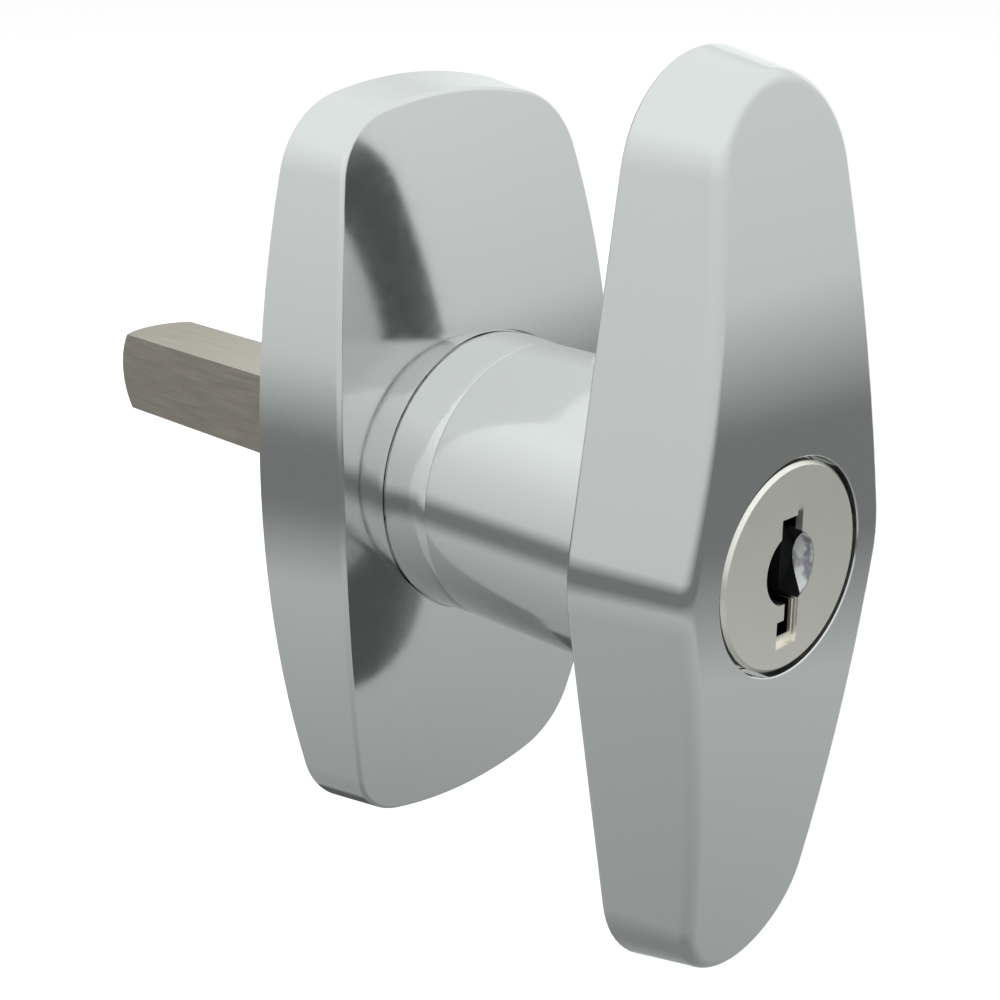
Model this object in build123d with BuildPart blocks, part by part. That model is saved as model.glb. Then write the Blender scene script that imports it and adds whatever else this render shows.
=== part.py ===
from build123d import *
import math
import os

# T-handle latch for a door or lid, in millimetres.
# The origin is on the spindle axis at the door's face. +Z is up along the handle, the
# front of the handle faces -Y, and the spindle runs back into the door along +Y.
# Depths in this file are counted forward from the door's face, so a depth of 10 is y = -10.

# Grip: the bar of the T, seen from the front as three circles in one hull
grip_front_depth = 42.1
grip_thickness = 10.3
grip_length = 76.4
grip_middle_radius = 14.6
grip_end_radius = 9.75
grip_draft_degrees = 12.9
grip_crown_up = 194.0
grip_crown_across = 240.0
grip_front_round = 1.35
grip_back_round = 0.4

# Neck and spigot, cast in one with the grip
neck_radius = 12.25
neck_end_depth = 14.2
spigot_radius = 8.95
spigot_end_depth = 0.4
spigot_end_chamfer = 0.3
spigot_flat = spigot_radius - 0.85
spigot_flat_depth = 3.6

# Clearances: parts that turn or slide in each other, and parts that are seated
running_gap = 0.05
seat_gap = 0.1

# Bearing and what holds the handle in it
handle_turn_degrees = 90.0
bush_wall = 1.0
bush_end_depth = 4.7
stop_washer_thickness = 1.2
stop_washer_rim = 2.25
stop_washer_radius = spigot_radius + stop_washer_rim
stop_washer_depth = 2.25
stop_tab_length = 1.7
stop_tab_reach = stop_washer_radius + stop_tab_length
stop_tab_width = 4.0
stop_play_degrees = 1.5
recess_radius = stop_washer_radius + 4 * seat_gap
spring_washer_thickness = 0.5
spring_washer_radius = recess_radius - 3 * seat_gap
ring_thickness = 1.0
ring_depth = 1.15
ring_bite = 0.5
ring_groove_radius = spigot_radius - ring_bite
ring_rim = 1.65
ring_outer_radius = spigot_radius + ring_rim
ring_lug_radius = 1.3
ring_lug_centre = ring_outer_radius - ring_bite
ring_lug_degrees = 20.0
ring_hole_radius = 0.6
ring_opening_degrees = 12.0
seal_section = 1.5
seal_depth = 8.2

# Rosette: the barrel-shaped cover plate on the door
rosette_depth = 9.87
rosette_width = 36.3
rosette_height = 67.5
rosette_side_radius = 105.6
rosette_end_radius = 39.3
rosette_corner = 7.9
rosette_draft_degrees = 8.9
rosette_crown_up = 136.5
rosette_crown_across = 150.0
rosette_front_round = 0.5
rosette_wall = 2.6
rosette_skin = 2.0
hub_wall = 2.9
hub_radius = stop_tab_reach + hub_wall
rib_thickness = 2.2

# Fixing: two tapped bosses behind the rosette
fixing_end_distance = 8.75
fixing_pitch = rosette_height - 2 * fixing_end_distance
fixing_tap_radius = 2.1
fixing_boss_radius = 4.6
fixing_hole_depth = 6.0

# Gasket let into the back of the rosette
gasket_thickness = 1.0
gasket_inset = 1.5
gasket_gap = 0.1
gasket_centre_radius = stop_tab_reach + 8 * gasket_gap

# Square spindle
spindle_size = 8.0
spindle_corner_y = 40.9
spindle_dome_radius = spindle_size
spindle_seat_depth = 9.5
spindle_chamfer = 0.5
spindle_gap = 0.03
pin_radius = 1.25
pin_depth = 5.95
pin_half_length = spigot_radius - 0.25

# Plug: the round part that the key turns
plug_face_depth = 41.9
plug_head_chamfer = 0.28
plug_radius = 6.98
plug_back_depth = 21.4
plug_tang = 5.0
plug_tang_length = 2.0
key_left = -1.45
key_right = 1.12
key_top = 4.2
key_foot = -6.4
key_foot_recess = 0.55
key_blade_foot = -5.7
key_notch_left = 0.45
key_notch_top = 4.95
key_hole_radius = 3.0
key_hole_inner = 2.8
key_hole_depth = 1.9
key_hole_shift = -0.1
key_ward_left = (-1.45, -0.1, -4.4, -3.0)
key_ward_right = (0.78, 1.0, -6.0, -2.9)
key_ward_setback = 0.35
key_ward_length = 1.6

# Wafers and their springs
wafer_count = 5
wafer_first_depth = 36.9
wafer_pitch = 2.8
wafer_thickness = 1.0
wafer_left = -3.4
wafer_right = 2.1
wafer_lug_right = 3.4
wafer_lug_foot = 1.6
wafer_lug_top = 3.2
wafer_end_radius = plug_radius - 0.08
wafer_window_side = 0.13
wafer_window_foot = -4.7
wafer_window_top = 4.4
wafer_codes = (0.0, 0.4, 0.2, 0.5, 0.3)
wafer_gap = 0.05
wafer_travel = 0.6
wafer_spring_radius = 0.5
wafer_spring_bore = 0.3
wafer_spring_end_gap = 0.03
wafer_spring_floor = -1.55

# Lock barrel and the bore that holds it
plug_bore = plug_radius + running_gap
barrel_wall = 1.67
barrel_radius = plug_bore + barrel_wall
barrel_bore_radius = barrel_radius + running_gap
barrel_back_depth = 22.9
barrel_front_depth = 39.5
barrel_groove_half = wafer_lug_right + 0.25
barrel_groove_front = 38.6
barrel_groove_radius = wafer_end_radius + wafer_travel + 3 * seat_gap
plug_head_radius = barrel_radius - 0.32
bore_edge_chamfer = 0.1
screw_radius = 1.45
screw_depth = 27.0
screw_tip_radius = 1.1
screw_tip_reach = barrel_radius - 0.55
screw_outer_reach = neck_radius - 0.35
screw_socket = 1.5
screw_socket_depth = 1.6

# Clip behind the barrel, and the driver that moves the bolt
clip_thickness = 0.6
clip_groove_radius = plug_radius - 0.78
chamber_radius = barrel_radius - 0.5
clip_outer_radius = chamber_radius - 3 * seat_gap
clip_opening_degrees = 70.0
chamber_back_depth = 17.4
driver_radius = plug_radius - 0.58
driver_back_depth = 17.7
driver_pin_radius = 1.25
driver_throw = 2.0
driver_well_radius = driver_throw + driver_pin_radius + 0.95
driver_pin_place = -driver_throw * math.sin(math.radians(45))

# Lock bolt
bolt_half_width = driver_throw + driver_pin_radius + 1.25
bolt_back_depth = 10.7
bolt_front_depth = 13.5
bolt_foot = 2.95 - spigot_radius
bolt_tip_radius = spigot_radius - seat_gap
bolt_slot_foot = bolt_foot - 6 * seat_gap
bolt_pin_play = 0.12
bolt_travel = -2 * driver_pin_place

# Collar between the rosette and the neck, where the lock bolt holds
collar_seat_depth = 9.05
collar_front_depth = neck_end_depth - seat_gap
collar_front_radius = neck_radius - 0.05
collar_back_radius = collar_front_radius + 0.35
collar_back_round = 0.45
collar_lug_width = 4.0
collar_lug_outer = collar_back_radius - 0.25
collar_lug_length = 2.3
collar_notch_radius = collar_front_radius - 0.3
collar_lug_turns = (135, 315)

# Sizes worked out from the ones above
grip_back_depth = grip_front_depth - grip_thickness
bush_bore = spigot_radius + running_gap
bush_radius = bush_bore + bush_wall
collar_lug_inner = bush_radius + running_gap
barrel_top = barrel_front_depth + seat_gap


def ahead(depth):
    """The upright plane at this depth, whose x is +X and whose y is +Z."""
    return Plane.XZ.offset(depth)


def disc(radius, near, far, mode=Mode.ADD, at=(0, 0)):
    """A round bar about a line along Y, from one depth to another."""
    with BuildSketch(ahead(near)) as face:
        with Locations(at):
            Circle(radius)
    extrude(face.sketch, amount=far - near, mode=mode)


def tube(outer, inner, near, far, mode=Mode.ADD):
    """A round tube on the spindle axis, from one depth to another."""
    with BuildSketch(ahead(near)) as face:
        Circle(outer)
        Circle(inner, mode=Mode.SUBTRACT)
    extrude(face.sketch, amount=far - near, mode=mode)


def block(left, right, foot, top, near, far, mode=Mode.ADD):
    """A square-cornered bar along Y, given by its sides, its foot and its top."""
    with BuildSketch(ahead(near)) as face:
        with Locations(((left + right) / 2, (foot + top) / 2)):
            Rectangle(right - left, top - foot)
    extrude(face.sketch, amount=far - near, mode=mode)


def sector(radius, start, span, near, far, mode=Mode.SUBTRACT):
    """A slice of a disc, from an angle in the X-Z plane and over a span."""
    first = math.radians(start)
    last = math.radians(start + span)
    with BuildSketch(ahead(near)) as face:
        with BuildLine():
            Line((0, 0), (radius * math.cos(first), radius * math.sin(first)))
            CenterArc((0, 0), radius, start, span)
            Line((radius * math.cos(last), radius * math.sin(last)), (0, 0))
        make_face()
    extrude(face.sketch, amount=far - near, mode=mode)


def crowned_body(apex, radius_up, radius_across, reach):
    """What lies behind a front that is curved both ways and touches the depth apex."""
    axis_y = radius_across - apex
    end_x = radius_across - radius_up + math.sqrt(radius_up**2 - reach**2)
    with BuildPart() as body:
        upright = Plane(origin=(0, axis_y, 0), x_dir=(1, 0, 0), z_dir=(0, -1, 0))
        with BuildSketch(upright) as profile:
            with BuildLine():
                ThreePointArc((end_x, -reach), (radius_across, 0), (end_x, reach))
                Polyline((end_x, reach), (0, reach), (0, -reach), (end_x, -reach))
            make_face()
        revolve(profile.sketch, axis=Axis((0, axis_y, 0), (0, 0, 1)))
    return body.part


def rosette_outline(depth, inset=0.0):
    """Barrel shape with bowed sides and ends, drawn in all round by the inset."""
    side = rosette_side_radius - inset
    end = rosette_end_radius - inset
    side_centre = side - (rosette_width / 2 - inset)
    end_centre = end - (rosette_height / 2 - inset)
    with BuildSketch(ahead(depth)) as outline:
        with Locations((side_centre, 0)):
            Circle(side)
        with Locations((-side_centre, 0)):
            Circle(side, mode=Mode.INTERSECT)
        with Locations((0, end_centre)):
            Circle(end, mode=Mode.INTERSECT)
        with Locations((0, -end_centre)):
            Circle(end, mode=Mode.INTERSECT)
        fillet(outline.vertices(), radius=rosette_corner - inset)
    return outline.sketch


# Handle: grip, neck and spigot are one casting
with BuildPart() as t_handle:
    with BuildSketch(ahead(grip_back_depth)) as grip_outline:
        with BuildLine():
            end_centre = grip_length / 2 - grip_end_radius
            lean = math.degrees(math.asin((grip_middle_radius - grip_end_radius) / end_centre))
            CenterArc((0, 0), grip_middle_radius, -lean, 2 * lean)
            CenterArc((0, end_centre), grip_end_radius, lean, 180 - 2 * lean)
            CenterArc((0, 0), grip_middle_radius, 180 - lean, 2 * lean)
            CenterArc((0, -end_centre), grip_end_radius, 180 + lean, 180 - 2 * lean)
            for turn in (1, -1):
                flank_in = Vector(grip_middle_radius, 0).rotate(Axis.Z, lean)
                flank_out = Vector(grip_end_radius, 0).rotate(Axis.Z, lean) + (0, end_centre)
                Line((turn * flank_in.X, flank_in.Y), (turn * flank_out.X, flank_out.Y))
                Line((turn * flank_in.X, -flank_in.Y), (turn * flank_out.X, -flank_out.Y))
        make_face()
    extrude(grip_outline.sketch, amount=grip_thickness, taper=grip_draft_degrees)
    add(
        crowned_body(grip_front_depth, grip_crown_up, grip_crown_across, grip_length),
        mode=Mode.INTERSECT,
    )
    fillet(t_handle.faces().sort_by(Axis.Y)[0].edges(), radius=grip_front_round)
    fillet(t_handle.faces().sort_by(Axis.Y)[-1].edges(), radius=grip_back_round)
    disc(neck_radius, neck_end_depth, grip_back_depth + grip_front_round)
    disc(spigot_radius, spigot_end_depth, neck_end_depth)
    chamfer(t_handle.faces().sort_by(Axis.Y)[-1].edges(), length=spigot_end_chamfer)
    # Flats at the end of the spigot turn the stop washer
    for side in (-1, 1):
        block(
            min(side * spigot_flat, side * spigot_radius * 1.1),
            max(side * spigot_flat, side * spigot_radius * 1.1),
            -spigot_radius,
            spigot_radius,
            spigot_end_depth,
            spigot_flat_depth,
            mode=Mode.SUBTRACT,
        )
    # Bore for the lock, then the chamber for its driver and the well for the driver's pin
    disc(barrel_bore_radius, barrel_back_depth, grip_front_depth, mode=Mode.SUBTRACT)
    bore_rim = t_handle.edges().sort_by_distance((0, -grip_front_depth, barrel_bore_radius))[0]
    chamfer(bore_rim, length=bore_edge_chamfer)
    disc(chamber_radius, chamber_back_depth, barrel_back_depth, mode=Mode.SUBTRACT)
    disc(driver_well_radius, bolt_front_depth, chamber_back_depth, mode=Mode.SUBTRACT)
    # Slot across the spigot for the lock bolt, open at the top
    block(
        -bolt_half_width - running_gap,
        bolt_half_width + running_gap,
        bolt_slot_foot,
        spigot_radius + 1,
        bolt_back_depth - running_gap,
        bolt_front_depth + running_gap,
        mode=Mode.SUBTRACT,
    )
    # Square socket for the spindle, with its cross pin
    socket_half = spindle_size / 2 + spindle_gap
    block(
        -socket_half,
        socket_half,
        -socket_half,
        socket_half,
        spigot_end_depth,
        spindle_seat_depth + seat_gap,
        mode=Mode.SUBTRACT,
    )
    with BuildSketch(Plane.YZ.offset(-spigot_radius)) as pin_hole:
        with Locations((-pin_depth, 0)):
            Circle(pin_radius)
    extrude(pin_hole.sketch, amount=2 * spigot_radius, mode=Mode.SUBTRACT)
    # Grooves for the seal and the retaining ring
    tube(
        spigot_radius + 1,
        spigot_radius - seal_section,
        seal_depth - seal_section / 2 - running_gap,
        seal_depth + seal_section / 2 + running_gap,
        mode=Mode.SUBTRACT,
    )
    tube(
        spigot_radius + 1,
        ring_groove_radius,
        ring_depth - running_gap,
        ring_depth + ring_thickness + running_gap,
        mode=Mode.SUBTRACT,
    )
    # Tapped hole in the side of the neck for the screw that holds the barrel
    with BuildSketch(Plane.YZ.offset(chamber_radius)) as screw_hole:
        with Locations((-screw_depth, 0)):
            Circle(screw_radius + running_gap)
    extrude(screw_hole.sketch, amount=neck_radius, mode=Mode.SUBTRACT)

# Rosette: a cast shell with a hub, two fixing bosses and ribs behind it
with BuildPart() as rosette_hollow:
    with BuildSketch(ahead(gasket_thickness)) as hollow_outline:
        add(rosette_outline(gasket_thickness, rosette_wall))
        Circle(hub_radius, mode=Mode.SUBTRACT)
        with Locations((0, fixing_pitch / 2), (0, -fixing_pitch / 2)):
            Circle(fixing_boss_radius, mode=Mode.SUBTRACT)
        Rectangle(rib_thickness, fixing_pitch, mode=Mode.SUBTRACT)
    extrude(hollow_outline.sketch, amount=rosette_depth)
    with BuildSketch(Plane.YZ.offset(-rosette_width / 2)) as ceiling:
        with Locations((rosette_crown_up - rosette_depth, 0)):
            Circle(rosette_crown_up - rosette_skin)
    extrude(ceiling.sketch, amount=rosette_width, mode=Mode.INTERSECT)

with BuildPart() as rosette:
    extrude(rosette_outline(0), amount=rosette_depth, taper=rosette_draft_degrees)
    add(
        crowned_body(rosette_depth, rosette_crown_up, rosette_crown_across, rosette_height),
        mode=Mode.INTERSECT,
    )
    fillet(rosette.faces().sort_by(Axis.Y)[0].edges(), radius=rosette_front_round)
    add(rosette_hollow.part, mode=Mode.SUBTRACT)
    # Recess for the gasket, which leaves the fixing bosses standing to the door's face
    with BuildSketch(ahead(0)) as gasket_recess:
        add(rosette_outline(0, gasket_inset))
        with Locations((0, fixing_pitch / 2), (0, -fixing_pitch / 2)):
            Circle(fixing_boss_radius, mode=Mode.SUBTRACT)
    extrude(gasket_recess.sketch, amount=gasket_thickness, mode=Mode.SUBTRACT)
    # Bore for the bush, seat for the collar, and the recess behind for washers and ring
    disc(bush_radius, 0, rosette_depth, mode=Mode.SUBTRACT)
    disc(collar_back_radius + seat_gap, collar_seat_depth, rosette_depth, mode=Mode.SUBTRACT)
    disc(recess_radius, 0, bush_end_depth, mode=Mode.SUBTRACT)
    # Channel that lets the stop tab turn through the handle's range
    tab_half_degrees = math.degrees(math.asin(stop_tab_width / 2 / stop_washer_radius))
    channel_margin = tab_half_degrees + stop_play_degrees
    sector(
        stop_tab_reach + 3 * seat_gap,
        180 - channel_margin,
        handle_turn_degrees + 2 * channel_margin,
        0,
        stop_washer_depth + stop_washer_thickness + seat_gap,
    )
    # Pockets for the collar's lugs
    for turn in collar_lug_turns:
        with BuildSketch(ahead(collar_seat_depth - collar_lug_length - seat_gap)) as pocket:
            with Locations(Rotation(0, 0, turn)):
                with Locations(((bush_radius + collar_lug_outer) / 2, 0)):
                    Rectangle(
                        collar_lug_outer - bush_radius + 2 * seat_gap,
                        collar_lug_width + seat_gap,
                    )
        extrude(pocket.sketch, amount=collar_lug_length + seat_gap, mode=Mode.SUBTRACT)
    # Tapped holes in the bosses
    for height in (fixing_pitch / 2, -fixing_pitch / 2):
        disc(fixing_tap_radius, 0, fixing_hole_depth, mode=Mode.SUBTRACT, at=(0, height))

# Gasket, flush with the rosette's back rim
with BuildPart() as back_gasket:
    with BuildSketch(ahead(0)) as gasket_outline:
        add(rosette_outline(0, gasket_inset + gasket_gap))
        Circle(gasket_centre_radius, mode=Mode.SUBTRACT)
        with Locations((0, fixing_pitch / 2), (0, -fixing_pitch / 2)):
            Circle(fixing_boss_radius + gasket_gap, mode=Mode.SUBTRACT)
    extrude(gasket_outline.sketch, amount=gasket_thickness)

# Collar: holds the front end of the spigot and has a notch for the bolt at each handle limit
with BuildPart() as neck_collar:
    with BuildSketch(Plane.XY) as collar_profile:
        with BuildLine():
            Polyline(
                (bush_bore, -collar_seat_depth),
                (collar_back_radius, -collar_seat_depth),
                (collar_front_radius, -collar_front_depth),
                (bush_bore, -collar_front_depth),
                close=True,
            )
        make_face()
        rear_corner = collar_profile.vertices().group_by(Axis.Y)[-1].sort_by(Axis.X)[-1]
        fillet(rear_corner, radius=collar_back_round)
    revolve(collar_profile.sketch, axis=Axis.Y)
    notch_half = bolt_half_width + seat_gap
    notch_back = bolt_back_depth - 2 * seat_gap
    with BuildSketch(ahead(notch_back)) as notches:
        with Locations((0, collar_notch_radius / 2)):
            Rectangle(2 * notch_half, collar_notch_radius)
        with Locations((collar_notch_radius / 2, 0)):
            Rectangle(collar_notch_radius, 2 * notch_half)
        Circle(collar_notch_radius, mode=Mode.INTERSECT)
    extrude(notches.sketch, amount=collar_front_depth - notch_back, mode=Mode.SUBTRACT)
    for turn in collar_lug_turns:
        with BuildSketch(ahead(collar_seat_depth - collar_lug_length)) as lug:
            with Locations(Rotation(0, 0, turn)):
                with Locations(((collar_lug_inner + collar_lug_outer) / 2, 0)):
                    Rectangle(collar_lug_outer - collar_lug_inner, collar_lug_width)
        extrude(lug.sketch, amount=collar_lug_length)

# Bush in the rosette's hub, in which the spigot turns
with BuildPart() as bearing_bush:
    tube(bush_radius, bush_bore, bush_end_depth, collar_seat_depth)

# Square-section seal in the spigot's groove
with BuildPart() as spigot_seal:
    tube(
        spigot_radius,
        spigot_radius - seal_section,
        seal_depth - seal_section / 2,
        seal_depth + seal_section / 2,
    )
    chamfer(spigot_seal.edges().filter_by(GeomType.CIRCLE), length=seal_section / 8)

# Square spindle with a domed end, and its cross pin
with BuildPart() as spindle_envelope:
    dome_centre = spindle_corner_y - math.sqrt(spindle_dome_radius**2 - spindle_size**2 / 2)
    disc(spindle_dome_radius, -dome_centre, spindle_seat_depth)
    with Locations((0, dome_centre, 0)):
        Sphere(spindle_dome_radius)

with BuildPart() as square_spindle:
    half = spindle_size / 2
    spindle_tip = dome_centre + spindle_dome_radius
    block(-half, half, -half, half, -spindle_tip, spindle_seat_depth)
    chamfer(square_spindle.faces().sort_by(Axis.Y)[0].edges(), length=spindle_chamfer)
    add(spindle_envelope.part, mode=Mode.INTERSECT)
    with BuildSketch(Plane.YZ.offset(-half)) as cross_hole:
        with Locations((-pin_depth, 0)):
            Circle(pin_radius)
    extrude(cross_hole.sketch, amount=spindle_size, mode=Mode.SUBTRACT)

with BuildPart() as spindle_pin:
    with BuildSketch(Plane.YZ.offset(-pin_half_length)) as pin_face:
        with Locations((-pin_depth, 0)):
            Circle(pin_radius)
    extrude(pin_face.sketch, amount=2 * pin_half_length)
    chamfer(spindle_pin.faces().sort_by(Axis.X)[0].edges(), length=pin_radius / 5)
    chamfer(spindle_pin.faces().sort_by(Axis.X)[-1].edges(), length=pin_radius / 5)

# Stop washer: turned by the spigot's flats, its tab runs in the rosette's channel
with BuildPart() as stop_washer:
    with BuildSketch(ahead(stop_washer_depth)) as stop_face:
        Circle(stop_washer_radius)
        with Locations((0, -stop_tab_reach / 2)):
            Rectangle(stop_tab_width, stop_tab_reach)
        with BuildSketch(mode=Mode.SUBTRACT):
            Circle(spigot_radius + running_gap)
            Rectangle(
                2 * (spigot_flat + running_gap), 3 * spigot_radius, mode=Mode.INTERSECT
            )
    extrude(stop_face.sketch, amount=stop_washer_thickness)

# Conical spring washer that takes up the play
with BuildPart() as spring_washer:
    cone_low = stop_washer_depth + stop_washer_thickness + running_gap
    cone_high = bush_end_depth - running_gap
    with BuildSketch(Plane.XY) as cone_profile:
        with BuildLine():
            Polyline(
                (bush_bore + seat_gap, -cone_low),
                (bush_bore + seat_gap, -cone_low - spring_washer_thickness),
                (spring_washer_radius, -cone_high),
                (spring_washer_radius, -cone_high + spring_washer_thickness),
                close=True,
            )
        make_face()
    revolve(cone_profile.sketch, axis=Axis.Y)

# Retaining ring with two eyes for pliers
with BuildPart() as retaining_ring:
    with BuildSketch(ahead(ring_depth)) as ring_face:
        Circle(ring_outer_radius)
        for eye in (-1, 1):
            eye_place = Vector(0, -ring_lug_centre).rotate(Axis.Z, eye * ring_lug_degrees)
            with Locations(eye_place):
                Circle(ring_lug_radius)
                Circle(ring_hole_radius, mode=Mode.SUBTRACT)
        Circle(ring_groove_radius, mode=Mode.SUBTRACT)
    extrude(ring_face.sketch, amount=ring_thickness)
    sector(
        2 * ring_outer_radius,
        -90 - ring_opening_degrees,
        2 * ring_opening_degrees,
        ring_depth,
        ring_depth + ring_thickness,
    )

# Lock barrel with a groove on four sides for the wafers
with BuildPart() as lock_barrel:
    tube(barrel_radius, plug_bore, barrel_back_depth, barrel_front_depth)
    with BuildSketch(ahead(barrel_back_depth)) as grooves:
        Rectangle(2 * barrel_groove_half, 2 * barrel_groove_radius)
        Rectangle(2 * barrel_groove_radius, 2 * barrel_groove_half)
        Circle(barrel_groove_radius, mode=Mode.INTERSECT)
    extrude(grooves.sketch, amount=barrel_groove_front - barrel_back_depth, mode=Mode.SUBTRACT)
    with BuildSketch(Plane.YZ.offset(screw_tip_reach - running_gap)) as dimple:
        with Locations((-screw_depth, 0)):
            Circle(screw_tip_radius + running_gap)
    extrude(dimple.sketch, amount=barrel_radius, mode=Mode.SUBTRACT)

# Set screw through the neck into the barrel
with BuildPart() as barrel_screw:
    with BuildSketch(Plane.YZ.offset(screw_tip_reach)) as tip_face:
        with Locations((-screw_depth, 0)):
            Circle(screw_tip_radius)
    extrude(tip_face.sketch, amount=barrel_radius - screw_tip_reach + running_gap)
    with BuildSketch(Plane.YZ.offset(barrel_radius + running_gap)) as shank_face:
        with Locations((-screw_depth, 0)):
            Circle(screw_radius)
    extrude(shank_face.sketch, amount=screw_outer_reach - barrel_radius - running_gap)
    with BuildSketch(Plane.YZ.offset(screw_outer_reach)) as socket_face:
        with Locations((-screw_depth, 0)):
            RegularPolygon(screw_socket / 2, 6, major_radius=False)
    extrude(socket_face.sketch, amount=-screw_socket_depth, mode=Mode.SUBTRACT)

# Where each wafer sits, and whether it is turned over to spring downward
wafer_places = []
for number in range(wafer_count):
    wafer_places.append((wafer_first_depth - number * wafer_pitch, number % 2 == 1))

# Plug: head, body, tang, keyway and wafer slots
with BuildPart() as lock_plug:
    disc(plug_head_radius, barrel_top, plug_face_depth)
    chamfer(lock_plug.faces().sort_by(Axis.Y)[0].edges(), length=plug_head_chamfer)
    disc(plug_radius, plug_back_depth, barrel_top)
    tang_half = plug_tang / 2
    tang_end = plug_back_depth - plug_tang_length
    block(-tang_half, tang_half, -tang_half, tang_half, tang_end, plug_back_depth)
    # Keyway: blade slot to the last wafer, round mouth, and the shallow foot and notch
    blade_end = wafer_places[-1][0] - wafer_pitch / 2
    face = plug_face_depth
    foot_depth = face - key_foot_recess
    block(key_left, key_right, key_blade_foot, key_top, blade_end, face, Mode.SUBTRACT)
    block(key_left, key_right, key_foot, key_top, foot_depth, face, Mode.SUBTRACT)
    block(key_notch_left, key_right, key_top, key_notch_top, foot_depth, face, Mode.SUBTRACT)
    with BuildSketch(ahead(plug_face_depth)) as mouth:
        with Locations((key_hole_shift, 0)):
            Circle(key_hole_radius)
    with BuildSketch(ahead(plug_face_depth - key_hole_depth)) as mouth_floor:
        with Locations((key_hole_shift, 0)):
            Circle(key_hole_inner)
    loft([mouth.sketch, mouth_floor.sketch], mode=Mode.SUBTRACT)
    # Wards that stand into the slot behind the face
    for left, right, foot, top in (key_ward_left, key_ward_right):
        ward_front = plug_face_depth - key_ward_setback
        block(left, right, foot, top, ward_front - key_ward_length, ward_front)
    # Slots across the body for the wafers, each with a pocket for its spring
    for depth, turned in wafer_places:
        flip = -1 if turned else 1
        edges = sorted((flip * (wafer_left - wafer_gap), flip * (wafer_right + wafer_gap)))
        pocket = sorted((flip * wafer_right, flip * (wafer_lug_right + wafer_gap)))
        rise = sorted((flip * wafer_spring_floor, flip * plug_radius))
        near = depth - wafer_thickness / 2 - wafer_gap
        far = depth + wafer_thickness / 2 + wafer_gap
        block(*edges, -plug_radius, plug_radius, near, far, Mode.SUBTRACT)
        block(*pocket, *rise, near, far, Mode.SUBTRACT)
    # Groove for the clip
    clip_back = barrel_back_depth - seat_gap - clip_thickness
    tube(
        plug_radius + 1,
        clip_groove_radius,
        clip_back - running_gap,
        clip_back + clip_thickness + running_gap,
        mode=Mode.SUBTRACT,
    )

# Clip that keeps the plug in the barrel
with BuildPart() as plug_clip:
    tube(clip_outer_radius, clip_groove_radius + running_gap, clip_back, clip_back + clip_thickness)
    sector(
        2 * clip_outer_radius,
        90 - clip_opening_degrees / 2,
        clip_opening_degrees,
        clip_back,
        clip_back + clip_thickness,
    )

# Driver on the plug's tang; its pin is off centre and moves the bolt
with BuildPart() as driver_cam:
    driver_front = plug_back_depth - seat_gap
    disc(driver_radius, driver_back_depth, driver_front)
    socket = plug_tang / 2 + running_gap
    block(-socket, socket, -socket, socket, tang_end - seat_gap, driver_front, Mode.SUBTRACT)
    disc(
        driver_pin_radius,
        bolt_back_depth + seat_gap,
        driver_back_depth,
        at=(driver_pin_place, driver_pin_place),
    )

# Lock bolt: slides up out of the spigot into the collar
with BuildPart() as lock_bolt:
    with BuildSketch(ahead(bolt_back_depth)) as bolt_face:
        with Locations((0, (bolt_foot + bolt_tip_radius) / 2)):
            Rectangle(2 * bolt_half_width, bolt_tip_radius - bolt_foot)
        Circle(bolt_tip_radius, mode=Mode.INTERSECT)
        slot_left = -driver_throw - driver_pin_radius - seat_gap
        slot_right = driver_pin_place + driver_pin_radius + seat_gap
        with Locations(((slot_left + slot_right) / 2, driver_pin_place)):
            Rectangle(
                slot_right - slot_left, 2 * (driver_pin_radius + bolt_pin_play), mode=Mode.SUBTRACT
            )
    extrude(bolt_face.sketch, amount=bolt_front_depth - bolt_back_depth)

# Wafers and springs, one pair in each slot
wafers = []
wafer_springs = []
for number, (depth, turned) in enumerate(wafer_places):
    flip = -1 if turned else 1
    near = depth - wafer_thickness / 2
    with BuildPart() as wafer:
        with BuildSketch(ahead(near)) as wafer_face:
            with Locations((flip * (wafer_left + wafer_right) / 2, 0)):
                Rectangle(wafer_right - wafer_left, 2 * wafer_end_radius)
            with Locations(
                (
                    flip * (wafer_left + wafer_lug_right) / 2,
                    flip * (wafer_lug_foot + wafer_lug_top) / 2,
                )
            ):
                Rectangle(wafer_lug_right - wafer_left, wafer_lug_top - wafer_lug_foot)
            Circle(wafer_end_radius, mode=Mode.INTERSECT)
            window_foot = wafer_window_foot + wafer_codes[number]
            window_left = key_left - wafer_window_side
            window_right = key_right + wafer_window_side
            with Locations(
                ((window_left + window_right) / 2, (window_foot + wafer_window_top) / 2)
            ):
                Rectangle(
                    window_right - window_left, wafer_window_top - window_foot, mode=Mode.SUBTRACT
                )
        extrude(wafer_face.sketch, amount=wafer_thickness)
    wafers.append(wafer)
    spring_foot = wafer_spring_floor + wafer_spring_end_gap
    spring_top = wafer_lug_foot - wafer_spring_end_gap
    spring_x = flip * (wafer_right + wafer_lug_right + 2 * wafer_gap) / 2
    with BuildPart() as wafer_spring:
        with BuildSketch(Plane.XY.offset(min(flip * spring_foot, flip * spring_top))) as coil:
            with Locations((spring_x, -depth)):
                Circle(wafer_spring_radius)
                Circle(wafer_spring_bore, mode=Mode.SUBTRACT)
        extrude(coil.sketch, amount=spring_top - spring_foot)
    wafer_springs.append(wafer_spring)

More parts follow.
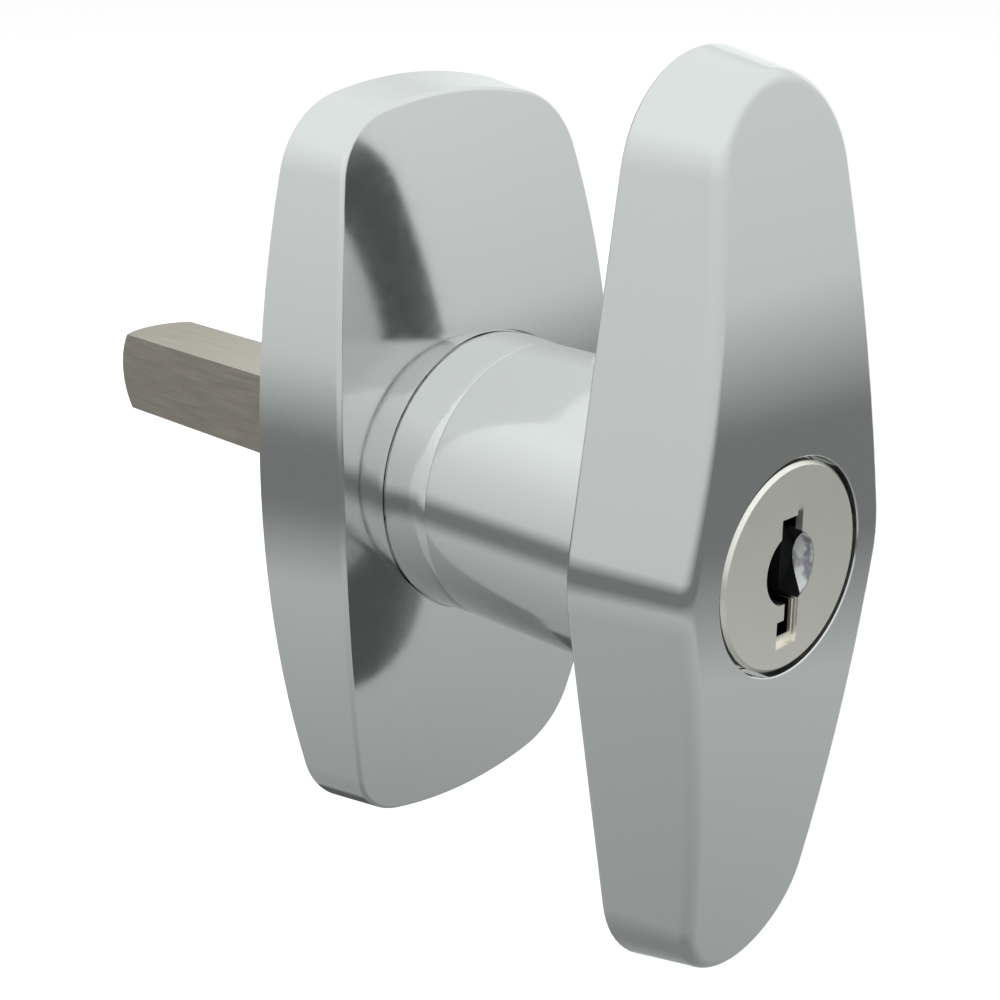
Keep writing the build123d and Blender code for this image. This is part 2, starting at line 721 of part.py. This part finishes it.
# One file for each piece
pieces = {
    "t_handle": t_handle,
    "rosette": rosette,
    "back_gasket": back_gasket,
    "neck_collar": neck_collar,
    "bearing_bush": bearing_bush,
    "spigot_seal": spigot_seal,
    "square_spindle": square_spindle,
    "spindle_pin": spindle_pin,
    "stop_washer": stop_washer,
    "spring_washer": spring_washer,
    "retaining_ring": retaining_ring,
    "lock_barrel": lock_barrel,
    "barrel_screw": barrel_screw,
    "lock_plug": lock_plug,
    "plug_clip": plug_clip,
    "driver_cam": driver_cam,
    "lock_bolt": lock_bolt,
}
for number in range(wafer_count):
    pieces[f"wafer_{number + 1}"] = wafers[number]
    pieces[f"wafer_spring_{number + 1}"] = wafer_springs[number]

os.makedirs("parts", exist_ok=True)
for name, piece in pieces.items():
    piece.part.label = name
    export_step(piece.part, f"parts/{name}.step")
print("lock bolt travel", round(bolt_travel, 3), "mm")
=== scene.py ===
import math

import bpy
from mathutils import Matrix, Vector


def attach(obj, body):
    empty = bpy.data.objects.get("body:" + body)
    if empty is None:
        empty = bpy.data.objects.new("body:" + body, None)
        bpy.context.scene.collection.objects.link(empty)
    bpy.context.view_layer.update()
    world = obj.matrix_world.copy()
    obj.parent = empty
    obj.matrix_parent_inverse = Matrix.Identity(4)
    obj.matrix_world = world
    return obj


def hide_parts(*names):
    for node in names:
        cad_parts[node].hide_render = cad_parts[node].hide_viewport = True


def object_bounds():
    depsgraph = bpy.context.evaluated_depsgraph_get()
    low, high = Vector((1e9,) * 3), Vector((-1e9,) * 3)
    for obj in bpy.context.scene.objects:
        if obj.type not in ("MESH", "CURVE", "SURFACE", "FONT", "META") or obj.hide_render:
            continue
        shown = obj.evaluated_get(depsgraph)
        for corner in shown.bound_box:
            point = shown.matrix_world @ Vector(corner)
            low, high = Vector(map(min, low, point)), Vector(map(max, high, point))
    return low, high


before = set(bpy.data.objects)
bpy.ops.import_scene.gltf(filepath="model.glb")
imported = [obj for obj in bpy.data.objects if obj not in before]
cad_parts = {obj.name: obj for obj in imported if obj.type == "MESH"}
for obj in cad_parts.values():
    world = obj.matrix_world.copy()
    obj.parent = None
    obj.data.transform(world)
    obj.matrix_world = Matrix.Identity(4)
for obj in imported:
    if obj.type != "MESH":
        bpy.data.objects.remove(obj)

cad_low, cad_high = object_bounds()

# Camera: fitted to the photograph's outlines, square frame, in metres and millimetres of lens
CAMERA_AZIMUTH = math.radians(-45.114)
CAMERA_ELEVATION = math.radians(19.842)
CAMERA_DISTANCE = 0.123875
CAMERA_TARGET = Vector((-0.019449, -0.030, 0.007454))
CAMERA_LENS = 62.257
SENSOR = 36.0
CAMERA_NEAR = 0.005
CAMERA_FAR = 20.0

# The two castings, in millimetres and degrees: the sizes that shape their outsides. back and apex
# are how far in front of the door they begin and end, and crown_up and crown_across are the
# radii of the bowed front. The grip's outline is the hull of circles with radius middle and end.
# The rosette's has sides and ends bowed by the radii side and end, and corners rounded by corner.
# From front_begins on, the grip's side belongs to its front edge, and before that to its back
# edge.
GRIP = {
    "back": 31.8, "apex": 42.1, "draft": 12.9, "crown_up": 194.0, "crown_across": 240.0,
    "front_round": 1.35, "back_round": 0.4, "front_begins": 34.845,
    "middle": 14.6, "end": 9.75, "length": 76.4,
}
ROSETTE = {
    "back": 0.0, "apex": 9.87, "draft": 8.9, "crown_up": 136.5, "crown_across": 150.0,
    "front_round": 0.5, "width": 36.3, "height": 67.5, "side": 105.6, "end": 39.3, "corner": 7.9,
}
MM_PER_METRE = 1000

# Steps to find the centre of a rolled edge, and the shortest distance that anything is divided by
ROUNDING_STEPS = 3
TINY = 1e-9

# A face corner takes the exact normal where it lies this near the outside, in millimetres, and
# where the cosine between that normal and the face's own is over this
SURFACE_TOLERANCE = 0.04
NORMAL_AGREEMENT = 0.85

# The collar: its rolled rims are this wide, in metres, where its faces turn by more than RIM_ANGLE
# degrees, and points nearer than WELD_DISTANCE are joined first
COLLAR_RIM = 0.00015
RIM_SEGMENTS = 3
RIM_ANGLE = 40
WELD_DISTANCE = 1e-6

# The chrome. The grip is polished harder: where that begins, in metres in front of the door, and
# its share of the other chrome's roughness.
CHROME_TONE = (0.80, 0.803, 0.80)
CHROME_ROUGH = (0.095, 0.12)
GRIP_BACK = 0.0317
GRIP_POLISH = 0.5

# The plug, in metres: how far its face is in front of the door, how far the keyway's round mouth is
# shifted towards -X, the mouth's radius, how deep the painted light reaches in its middle before
# the painted shade, at what height in it the painted light reaches no depth, how deep it reaches
# in the slot, the radius past which no shade is painted, and the width of each edge between two
# tones
PLUG_FACE = 0.0419
MOUTH_SHIFT = 0.0001
MOUTH_RADIUS = 0.00302
MOUTH_LIT = 0.00184
MOUTH_LIT_HALF_HEIGHT = 0.0026
SLOT_LIT = 0.0006
PLUG_RIM = 0.0065
EDGE = 0.00004

# Looks of the plug: its nickel, painted light with painted glints on the mouth's wall, and
# painted shade inside. The denoiser leaves specks where a roughness varies across 0.27, so this
# one stays above it.
PLUG_TONE = (0.97, 0.94, 0.87)
PLUG_ROUGH = (0.285, 0.315)
# The mouth's wall gets painted light: noise between these greys stands for the lit wall and its
# glints
PAINTED_WALL_DARK = (0.28, 0.28, 0.31, 1)
PAINTED_WALL_GLINT = (0.75, 0.79, 0.78, 1)
# Painted shade: the colour that stands for the shadow deep in the keyway
PAINTED_SHADE = (0.003, 0.003, 0.003, 1)
GLINT_GRAIN = 800
GLINT_DETAIL = 2.0
GLINT_FROM, GLINT_TO = 0.42, 0.6
PLUG_METALLIC = 0.92
# Metallic of the mouth's wall, which has painted light
LIT_WALL_METALLIC = 0.4
# Roughness added where the shade is painted
PAINTED_SHADE_ROUGHNESS = 0.6

# Floor, in metres: how far under the part, and half its width; and its light, as strengths
FLOOR_DROP = 0.025
FLOOR_HALF = 2.0
FLOOR_TONE = (0.8, 0.8, 0.8, 1)
FLOOR_SHADOW_TONE = (0.4, 0.4, 0.4, 1)
FLOOR_GLOW = 0.72

# Light of the studio: what rough surfaces get from the world, the white that the camera sees, and
# the lamps by name, place, width in metres and power in watts
WHITE_LIGHT = (1, 1, 1, 1)
SOFT_TONE = (0.95, 0.95, 0.95, 1)
SOFT_STRENGTH = 0.62
LAMPS = (
    ("key_softbox", (-0.5, -0.45, 0.7), 0.7, 9.0),
    ("fill_softbox", (0.6, -0.3, 0.5), 0.8, 3.0),
)

# The room that polished surfaces reflect, a plain one: greys in linear light by elevation in
# degrees, a mid floor, a dark edge of the table and pale walls, with one slightly cool tint
ROOM_TINT = (0.95, 1.0, 0.99)
ROOM = ((-70, 0.25), (-28, 0.5), (-20, 0.2), (-13, 0.2), (-5, 0.65), (15, 0.75), (40, 0.95))

# Soft-edged cards in it, by azimuth from +Y towards +X and by elevation, with their light. The
# edges take EDGE_SOFTNESS degrees more.
BRIGHT_CARD = 1.0
DARK_CARD = 0.1
EDGE_SOFTNESS = 8
CARDS = (
    ((50, 90), (-40, 20), BRIGHT_CARD),
    ((15, 35), (-50, 10), DARK_CARD),
)

# How noise varies a surface: the middle of the noise's range that is spread over the finish,
# the detail of the grain, and the broad patches as a share of the grain
NOISE_FROM, NOISE_TO = 0.3, 0.7
GRAIN_DETAIL = 5.0
PATCH_SHARE = 0.12

# Rubber: the detail of its grain, how much paler and dustier the grain's tops are, which part of
# the noise is spread over which roughness, and the height of the grain in metres. Then each
# rubber by slot, nodes, tone and grain.
RUBBER_DETAIL = 6.0
RUBBER_PALER = 1.7
RUBBER_DUST = 0.01
RUBBER_NOISE = (0.2, 0.8)
RUBBER_ROUGH = (0.6, 0.85)
RUBBER_RELIEF = 0.00004

RUBBERS = (
    ("gasket_rubber", ("back_gasket",), (0.03, 0.03, 0.03), 1800),
    ("seal_rubber", ("spigot_seal",), (0.30, 0.31, 0.31), 2500),
)

# The other metals: slot, nodes, and looks as the function metal takes them
SPRING_PARTS = ("spindle_pin", "spring_washer", "retaining_ring", "plug_clip")
PLATED_PARTS = ("stop_washer", "driver_cam", "lock_bolt")
WAFERS = tuple(f"wafer_{k}" for k in range(1, 6))
WAFER_SPRINGS = tuple(f"wafer_spring_{k}" for k in range(1, 6))
METALS = (
    ("spindle_steel", ("square_spindle",), dict(
        tone=(0.84, 0.75, 0.64), rough=(0.2, 0.28), grain=2500,
        tint=0.08, relief=0.000002, stretch=(1, 0.06, 1),
    )),
    ("spring_steel", SPRING_PARTS, dict(
        tone=(0.36, 0.36, 0.38), rough=(0.25, 0.4), grain=2500,
    )),
    ("zinc_steel", PLATED_PARTS, dict(
        tone=(0.72, 0.73, 0.72), rough=(0.25, 0.4), grain=2200,
    )),
    ("screw_steel", ("barrel_screw",), dict(
        tone=(0.16, 0.16, 0.17), rough=(0.3, 0.45), grain=2500,
    )),
    ("barrel_zinc", ("lock_barrel",), dict(
        tone=(0.72, 0.72, 0.71), rough=(0.12, 0.2), grain=2000,
    )),
    ("bush_bronze", ("bearing_bush",), dict(
        tone=(0.62, 0.45, 0.27), rough=(0.35, 0.5), grain=3000, tint=0.2,
    )),
    # The wafers' brass is darkened far below its own tone: painted shade, as they lie deep in the
    # plug
    ("wafer_brass", WAFERS, dict(
        tone=(0.05, 0.04, 0.022), rough=(0.22, 0.35), grain=2500,
    )),
    ("wafer_spring_wire", WAFER_SPRINGS, dict(
        tone=(0.62, 0.62, 0.60), rough=(0.2, 0.3), grain=3000,
    )),
)


# Node helpers

def empty_tree(owner):
    """The node tree of a material or world, with nothing in it yet."""
    owner.use_nodes = True
    owner.node_tree.nodes.clear()
    return owner.node_tree


def find_input(node, key):
    """An input by its name with _ for a space, or by its number with an i before it."""
    if key[0] == "i" and key[1:].isdigit():
        return node.inputs[int(key[1:])]
    return node.inputs[key.replace("_", " ")]


def add_node(tree, kind, settings=None, **inputs):
    """A node with its settings, and with its inputs set or linked."""
    made = tree.nodes.new(kind)
    for key, value in (settings or {}).items():
        setattr(made, key, value)
    for key, value in inputs.items():
        socket = find_input(made, key)
        if isinstance(value, bpy.types.NodeSocket):
            tree.links.new(value, socket)
        else:
            socket.default_value = value
    return made


def arithmetic(tree, operation, first, second=0.0):
    made = add_node(tree, "ShaderNodeMath", {"operation": operation}, i0=first, i1=second)
    return made.outputs[0]


def add(tree, first, second):
    return arithmetic(tree, "ADD", first, second)


def multiply(tree, first, second):
    return arithmetic(tree, "MULTIPLY", first, second)


def spread(tree, value, low, high, to_low=0.0, to_high=1.0):
    """A value brought smoothly from one range to another."""
    return add_node(
        tree, "ShaderNodeMapRange", {"interpolation_type": "SMOOTHSTEP"},
        Value=value, From_Min=low, From_Max=high, To_Min=to_low, To_Max=to_high,
    ).outputs[0]


def blend_colours(tree, factor, first, second):
    """A colour between two, by a factor from 0 to 1."""
    made = add_node(
        tree, "ShaderNodeMix", {"data_type": "RGBA"}, i0=factor, i6=first, i7=second,
    )
    return made.outputs[2]


def blend_shaders(tree, factor, first, second):
    """The same for two shaders."""
    made = add_node(tree, "ShaderNodeMixShader", i0=factor, i1=first, i2=second)
    return made.outputs[0]


# Camera

def aim(thing, back):
    """Turns a camera or a lamp to look away from a direction."""
    thing.rotation_mode = "QUATERNION"
    thing.rotation_quaternion = (-back).to_track_quat("-Z", "Y")


def make_camera():
    """The camera that took the photograph, as well as its outlines tell."""
    back = Vector((
        math.sin(CAMERA_AZIMUTH) * math.cos(CAMERA_ELEVATION),
        -math.cos(CAMERA_AZIMUTH) * math.cos(CAMERA_ELEVATION),
        math.sin(CAMERA_ELEVATION),
    ))
    data = bpy.data.cameras.new("photo_camera")
    data.lens = CAMERA_LENS
    data.sensor_width = SENSOR
    data.clip_start = CAMERA_NEAR
    data.clip_end = CAMERA_FAR
    camera = bpy.data.objects.new("photo_camera", data)
    camera.location = CAMERA_TARGET + back * CAMERA_DISTANCE
    aim(camera, back)
    bpy.context.scene.collection.objects.link(camera)
    bpy.context.scene.camera = camera


# Studio: a white backdrop, and a plain room with a few cards that the metal reflects

def grey(light):
    """A grey of the room, in linear light."""
    return (*(light * tint for tint in ROOM_TINT), 1.0)


def room_ramp(tree, elevation):
    """The room's greys by elevation in degrees."""
    height = add_node(tree, "ShaderNodeMapRange", Value=elevation, From_Min=-90, From_Max=90)
    ramp = tree.nodes.new("ShaderNodeValToRGB")
    stops = ramp.color_ramp.elements
    while len(stops) < len(ROOM):
        stops.new(1.0)
    for stop, (angle, light) in zip(stops, ROOM):
        stop.position = (angle + 90) / 180
        stop.color = grey(light)
    tree.links.new(height.outputs[0], ramp.inputs[0])
    return ramp.outputs[0]


def card_mask(tree, azimuth, elevation, azimuths, elevations):
    """1 on a card and 0 off it, with soft edges."""
    mask = 1.0
    for angle, (low, high) in ((azimuth, azimuths), (elevation, elevations)):
        mask = multiply(tree, mask, spread(tree, angle, low - EDGE_SOFTNESS, low))
        mask = multiply(tree, mask, spread(tree, angle, high, high + EDGE_SOFTNESS, 1.0, 0.0))
    return mask


def make_studio():
    """Polished surfaces see the room, the camera sees white, and the rest gets soft light."""
    world = bpy.data.worlds.new("studio")
    bpy.context.scene.world = world
    tree = empty_tree(world)
    way = add_node(tree, "ShaderNodeTexCoord").outputs["Generated"]
    axes = add_node(tree, "ShaderNodeSeparateXYZ", i0=way)
    elevation = arithmetic(tree, "ARCSINE", axes.outputs[2])
    elevation = multiply(tree, elevation, math.degrees(1))
    azimuth = arithmetic(tree, "ARCTAN2", axes.outputs[0], axes.outputs[1])
    azimuth = multiply(tree, azimuth, math.degrees(1))
    room = room_ramp(tree, elevation)
    for azimuths, elevations, light in CARDS:
        mask = card_mask(tree, azimuth, elevation, azimuths, elevations)
        room = blend_colours(tree, mask, room, grey(light))
    rays = add_node(tree, "ShaderNodeLightPath").outputs
    soft, backdrop, reflected = (
        add_node(tree, "ShaderNodeBackground", Color=colour, Strength=strength).outputs[0]
        for colour, strength in (
            (SOFT_TONE, SOFT_STRENGTH), (WHITE_LIGHT, 1.0), (room, 1.0),
        )
    )
    seen = arithmetic(tree, "MAXIMUM", rays["Is Camera Ray"], rays["Is Transmission Ray"])
    mixed = blend_shaders(tree, seen, soft, backdrop)
    mixed = blend_shaders(tree, rays["Is Glossy Ray"], mixed, reflected)
    add_node(tree, "ShaderNodeOutputWorld", Surface=mixed)


def make_lamp(name, place, size, power):
    """A round soft lamp that looks at the origin and doesn't show in the metal."""
    data = bpy.data.lights.new(name, "AREA")
    data.shape = "DISK"
    data.size = size
    data.energy = power
    lamp = bpy.data.objects.new(name, data)
    lamp.location = place
    aim(lamp, Vector(place))
    lamp.visible_glossy = False
    bpy.context.scene.collection.objects.link(lamp)


def floor_paint():
    """White with the shadow in it for the camera, and clear for polished surfaces."""
    paint = bpy.data.materials.new("pale_floor")
    tree = empty_tree(paint)
    rays = add_node(tree, "ShaderNodeLightPath").outputs
    matt = add_node(tree, "ShaderNodeBsdfDiffuse", Color=FLOOR_TONE).outputs[0]
    shadowed = add_node(tree, "ShaderNodeBsdfDiffuse", Color=FLOOR_SHADOW_TONE).outputs[0]
    glow = add_node(tree, "ShaderNodeEmission", Color=WHITE_LIGHT, Strength=FLOOR_GLOW).outputs[0]
    white = add_node(tree, "ShaderNodeAddShader", i0=shadowed, i1=glow).outputs[0]
    clear = add_node(tree, "ShaderNodeBsdfTransparent").outputs[0]
    surface = blend_shaders(tree, rays["Is Camera Ray"], matt, white)
    surface = blend_shaders(tree, rays["Is Glossy Ray"], surface, clear)
    add_node(tree, "ShaderNodeOutputMaterial", Surface=surface)
    return paint


def make_floor():
    """A level square under the part."""
    level = cad_low.z - FLOOR_DROP
    mesh = bpy.data.meshes.new("studio_floor")
    signs = ((-1, -1), (1, -1), (1, 1), (-1, 1))
    corners = [(x * FLOOR_HALF, y * FLOOR_HALF, level) for x, y in signs]
    mesh.from_pydata(corners, [], [(0, 1, 2, 3)])
    mesh.materials.append(floor_paint())
    floor = bpy.data.objects.new("studio_floor", mesh)
    bpy.context.scene.collection.objects.link(floor)


# Materials

def new_material(name):
    """A material with its tree, a principled shader, and the place on the object it is on."""
    made = bpy.data.materials.new(name)
    tree = empty_tree(made)
    shader = tree.nodes.new("ShaderNodeBsdfPrincipled")
    add_node(tree, "ShaderNodeOutputMaterial", Surface=shader.outputs[0])
    place = add_node(tree, "ShaderNodeTexCoord").outputs["Object"]
    return made, tree, shader, place


def noise(tree, place, scale, detail=3.0):
    made = add_node(tree, "ShaderNodeTexNoise", Vector=place, Scale=scale, Detail=detail)
    return made.outputs[0]


def add_relief(tree, shader, height, distance):
    """Fine relief in the shading, by a height from 0 to 1 and its size in metres."""
    bump = add_node(tree, "ShaderNodeBump", Height=height, Distance=distance, Strength=1.0)
    tree.links.new(bump.outputs[0], shader.inputs["Normal"])


def metal_nodes(name, tone, rough, grain, tint=0.03, relief=0.0, stretch=(1, 1, 1)):
    """A metal whose polish, tone and surface vary a little, with its tree, shader and place.

    rough is the roughness from and to, grain is the noise's scale per metre, tint is how much
    darker the dull patches are, relief is the height of the grain in metres, and a low stretch
    draws the grain out along its axis.
    """
    made, tree, shader, place = new_material(name)
    shader.inputs["Metallic"].default_value = 1.0
    stretched = add_node(tree, "ShaderNodeMapping", Vector=place, Scale=stretch).outputs[0]
    patches = noise(tree, stretched, grain * PATCH_SHARE)
    fine = noise(tree, stretched, grain, GRAIN_DETAIL)
    dull = tuple(c * (1 - tint) for c in tone)
    colour = blend_colours(tree, patches, (*tone, 1), (*dull, 1))
    tree.links.new(colour, shader.inputs["Base Color"])
    polish = spread(tree, fine, NOISE_FROM, NOISE_TO, *rough)
    tree.links.new(polish, shader.inputs["Roughness"])
    if relief:
        add_relief(tree, shader, fine, relief)
    return made, tree, shader, place


def metal(name, **looks):
    """The same, as a finished material."""
    return metal_nodes(name, **looks)[0]


def linked_to(shader, name):
    """What an input of the shader is linked to so far."""
    return shader.inputs[name].links[0].from_socket


def polished_chrome():
    """Bright chrome, polished hardest on the grip."""
    made, tree, shader, place = metal_nodes(
        "polished_chrome", tone=CHROME_TONE, rough=CHROME_ROUGH, grain=900, tint=0.01,
    )
    along = add_node(tree, "ShaderNodeSeparateXYZ", i0=place).outputs[1]
    share = spread(
        tree, along, -GRIP_BACK - 2 * EDGE, -GRIP_BACK + 2 * EDGE, GRIP_POLISH, 1.0,
    )
    rough = multiply(tree, linked_to(shader, "Roughness"), share)
    tree.links.new(rough, shader.inputs["Roughness"])
    return made


def plug_nickel():
    """Satin nickel on the plug's face, painted light and glints on the mouth's wall, painted shade
    behind.
    """
    made, tree, shader, place = metal_nodes(
        "plug_nickel", tone=PLUG_TONE, rough=PLUG_ROUGH, grain=700, tint=0.02,
    )
    x, y, z = add_node(tree, "ShaderNodeSeparateXYZ", i0=place).outputs
    depth = add(tree, y, PLUG_FACE)
    inside = spread(tree, depth, EDGE, 2 * EDGE)
    across = add(tree, x, MOUTH_SHIFT)
    across_squared = multiply(tree, across, across)
    up_squared = multiply(tree, z, z)
    radius = arithmetic(tree, "SQRT", add(tree, across_squared, up_squared))
    outside_mouth = spread(tree, radius, MOUTH_RADIUS, MOUTH_RADIUS + EDGE)
    in_mouth = arithmetic(tree, "SUBTRACT", 1.0, outside_mouth)
    in_plug = spread(tree, radius, PLUG_RIM, PLUG_RIM + EDGE, 1.0, 0.0)

    # Painted shade begins deep in the mouth's middle, less deep above and below, and sooner in the
    # slot
    shallower = multiply(tree, up_squared, MOUTH_LIT / MOUTH_LIT_HALF_HEIGHT**2)
    reach = add(tree, depth, multiply(tree, shallower, in_mouth))
    deep = multiply(tree, spread(tree, reach, MOUTH_LIT, MOUTH_LIT + EDGE), inside)
    in_slot = multiply(tree, spread(tree, depth, SLOT_LIT, SLOT_LIT + EDGE), outside_mouth)
    painted_shade = multiply(tree, arithmetic(tree, "MAXIMUM", deep, in_slot), in_plug)

    # Painted light and painted glints on the mouth's wall, mottled by noise
    wall = multiply(tree, in_mouth, inside)
    glints = spread(tree, noise(tree, place, GLINT_GRAIN, GLINT_DETAIL), GLINT_FROM, GLINT_TO)
    painted_light = blend_colours(tree, glints, PAINTED_WALL_DARK, PAINTED_WALL_GLINT)
    colour = blend_colours(tree, wall, linked_to(shader, "Base Color"), painted_light)
    # The painted shade goes over the colour
    colour = blend_colours(tree, painted_shade, colour, PAINTED_SHADE)
    tree.links.new(colour, shader.inputs["Base Color"])
    rough = multiply(tree, painted_shade, PAINTED_SHADE_ROUGHNESS)
    rough = add(tree, linked_to(shader, "Roughness"), rough)
    tree.links.new(rough, shader.inputs["Roughness"])
    metallic = spread(tree, wall, 0.0, 1.0, PLUG_METALLIC, LIT_WALL_METALLIC)
    tree.links.new(metallic, shader.inputs["Metallic"])
    return made


def rubber(name, tone, grain):
    """Moulded rubber with a fine grain that is paler where it stands out."""
    made, tree, shader, place = new_material(name)
    fine = noise(tree, place, grain, RUBBER_DETAIL)
    pale = tuple(c * RUBBER_PALER + RUBBER_DUST for c in tone)
    colour = blend_colours(tree, fine, (*tone, 1), (*pale, 1))
    tree.links.new(colour, shader.inputs["Base Color"])
    rough = spread(tree, fine, *RUBBER_NOISE, *RUBBER_ROUGH)
    tree.links.new(rough, shader.inputs["Roughness"])
    add_relief(tree, shader, fine, RUBBER_RELIEF)
    return made


def paint_nodes(material, names):
    """Puts a material on CAD nodes, instead of what they had."""
    for name in names:
        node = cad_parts[name]
        node.data.materials.clear()
        node.data.materials.append(material)


# Shading of the castings. Their meshes keep their vertices, and take the exact normals of the
# drafted sides, the rounded edges and the crowned fronts, so that the chrome reflects cleanly.

def grip_outline(x, z):
    """How far inside the grip's back outline a point is, and the way out across and up.

    The outline is the hull of three circles.
    """
    reach = GRIP["length"] / 2 - GRIP["end"]
    lean = math.asin((GRIP["middle"] - GRIP["end"]) / reach)
    up, across = abs(z), abs(x)
    if up * math.cos(lean) < across * math.sin(lean):
        radius, start = GRIP["middle"], 0.0
    elif (up - reach) * math.cos(lean) > across * math.sin(lean):
        radius, start = GRIP["end"], reach
    else:
        inside = GRIP["middle"] - across * math.cos(lean) - up * math.sin(lean)
        return inside, math.copysign(math.cos(lean), x), math.copysign(math.sin(lean), z)
    gap = max(math.hypot(across, up - start), TINY)
    return radius - gap, x / gap, math.copysign((up - start) / gap, z * (up - start))


def rosette_outline(x, z):
    """The same for the rosette, which has two bowed sides, two bowed ends and round corners."""
    side_centre = Vector((ROSETTE["width"] / 2 - ROSETTE["side"], 0))
    end_centre = Vector((0, ROSETTE["height"] / 2 - ROSETTE["end"]))
    point = Vector((abs(x), abs(z)))
    side_reach = ROSETTE["side"] - ROSETTE["corner"]
    end_reach = ROSETTE["end"] - ROSETTE["corner"]
    between = end_centre - side_centre
    along = (side_reach**2 - end_reach**2 + between.length_squared) / (2 * between.length)
    aside = math.sqrt(side_reach**2 - along**2)
    heading = between.normalized()
    corner = side_centre + heading * along + Vector((-heading.y, heading.x)) * aside
    to_side = corner - side_centre
    to_end = corner - end_centre
    out = point - corner
    beyond_side = to_side.x * out.y - to_side.y * out.x
    beyond_end = to_end.x * out.y - to_end.y * out.x
    if beyond_side > 0 and beyond_end < 0:
        centre, radius = corner, ROSETTE["corner"]
    elif beyond_side <= 0:
        centre, radius = side_centre, ROSETTE["side"]
    else:
        centre, radius = end_centre, ROSETTE["end"]
    out = point - centre
    gap = out.length
    return radius - gap, math.copysign(out.x / gap, x), math.copysign(out.y / gap, z)


def drafted_side(point, outline, sizes):
    """How far a point is under the sides, which lean in towards the front, and their normal."""
    inside, across, up = outline(point.x, point.z)
    draft = math.radians(sizes["draft"])
    rise = -point.y - sizes["back"]
    out = Vector((across * math.cos(draft), -math.sin(draft), up * math.cos(draft)))
    return (inside - rise * math.tan(draft)) * math.cos(draft), out


def crowned_front(point, sizes):
    """The same for the front, a barrel that is bowed upwards and across."""
    axis_y = sizes["crown_across"] - sizes["apex"]
    round_y = point.y - axis_y
    ring = math.hypot(point.x, round_y)
    offset = ring - (sizes["crown_across"] - sizes["crown_up"])
    gap = math.hypot(offset, point.z)
    out = Vector((point.x / ring * offset / gap, round_y / ring * offset / gap, point.z / gap))
    return sizes["crown_up"] - gap, out


def flat_back(point, sizes):
    """The same for the flat back."""
    return -point.y - sizes["back"], Vector((0, 1, 0))


def rounded_edge(point, first, second, radius):
    """The same for two surfaces joined by a rolled edge of a radius.

    Where the point belongs to one surface alone, that surface answers. Else the edge's centre is
    found in a few steps.
    """
    centre = point.copy()
    for step in range(ROUNDING_STEPS):
        depth_first, out_first = first(centre)
        depth_second, out_second = second(centre)
        cosine = out_first.dot(out_second)
        short_first = radius - depth_first
        short_second = radius - depth_second
        by_first = (short_first - cosine * short_second) / (1 - cosine**2)
        by_second = (short_second - cosine * short_first) / (1 - cosine**2)
        if step == 0 and by_first <= 0:
            return second(point)
        if step == 0 and by_second <= 0:
            return first(point)
        centre = centre - out_first * by_first - out_second * by_second
    out = point - centre
    return radius - out.length, out.normalized()


def cast_normal(point, outline, sizes):
    """How far a point, in metres, is under a casting's outside in millimetres, and the normal."""
    point = point * MM_PER_METRE

    def side(at):
        return drafted_side(at, outline, sizes)

    def front(at):
        return crowned_front(at, sizes)

    def back(at):
        return flat_back(at, sizes)

    if "back_round" in sizes and -point.y < sizes["front_begins"]:
        return rounded_edge(point, side, back, sizes["back_round"])
    return rounded_edge(point, side, front, sizes["front_round"])


def clean_casting(name, body, outline, sizes, material):
    """A piece with the CAD casting's own mesh and the exact normals of its outside."""
    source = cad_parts[name]
    mesh = source.data.copy()
    mesh.name = name + "_cast"
    places = [source.matrix_world @ vertex.co for vertex in mesh.vertices]
    exact = [cast_normal(place, outline, sizes) for place in places]
    normals = [Vector(corner.vector) for corner in mesh.corner_normals]
    for face in mesh.polygons:
        for corner in face.loop_indices:
            depth, out = exact[mesh.loops[corner].vertex_index]
            if abs(depth) < SURFACE_TOLERANCE and out.dot(face.normal) > NORMAL_AGREEMENT:
                normals[corner] = out
    mesh.normals_split_custom_set(normals)
    mesh.materials.clear()
    mesh.materials.append(material)
    piece = bpy.data.objects.new(name + "_cast", mesh)
    piece.matrix_world = source.matrix_world.copy()
    bpy.context.scene.collection.objects.link(piece)
    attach(piece, body)
    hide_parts(name)


def round_rims(node):
    """Rolls the sharp rims of a turned ring."""
    weld = node.modifiers.new("joined_rims", "WELD")
    weld.merge_threshold = WELD_DISTANCE
    rim = node.modifiers.new("rounded_rims", "BEVEL")
    rim.width = COLLAR_RIM
    rim.segments = RIM_SEGMENTS
    rim.limit_method = "ANGLE"
    rim.angle_limit = math.radians(RIM_ANGLE)
    rim.harden_normals = True


bpy.context.scene.view_settings.view_transform = "Standard"
make_camera()
make_studio()
for lamp in LAMPS:
    make_lamp(*lamp)
make_floor()

chrome = polished_chrome()
paint_nodes(chrome, ("neck_collar",))
round_rims(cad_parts["neck_collar"])
clean_casting("t_handle", "handle", grip_outline, GRIP, chrome)
clean_casting("rosette", "rosette", rosette_outline, ROSETTE, chrome)
paint_nodes(plug_nickel(), ("lock_plug",))
for slot, names, looks in METALS:
    paint_nodes(metal(slot, **looks), names)
for slot, names, tone, grain in RUBBERS:
    paint_nodes(rubber(slot, tone, grain), names)
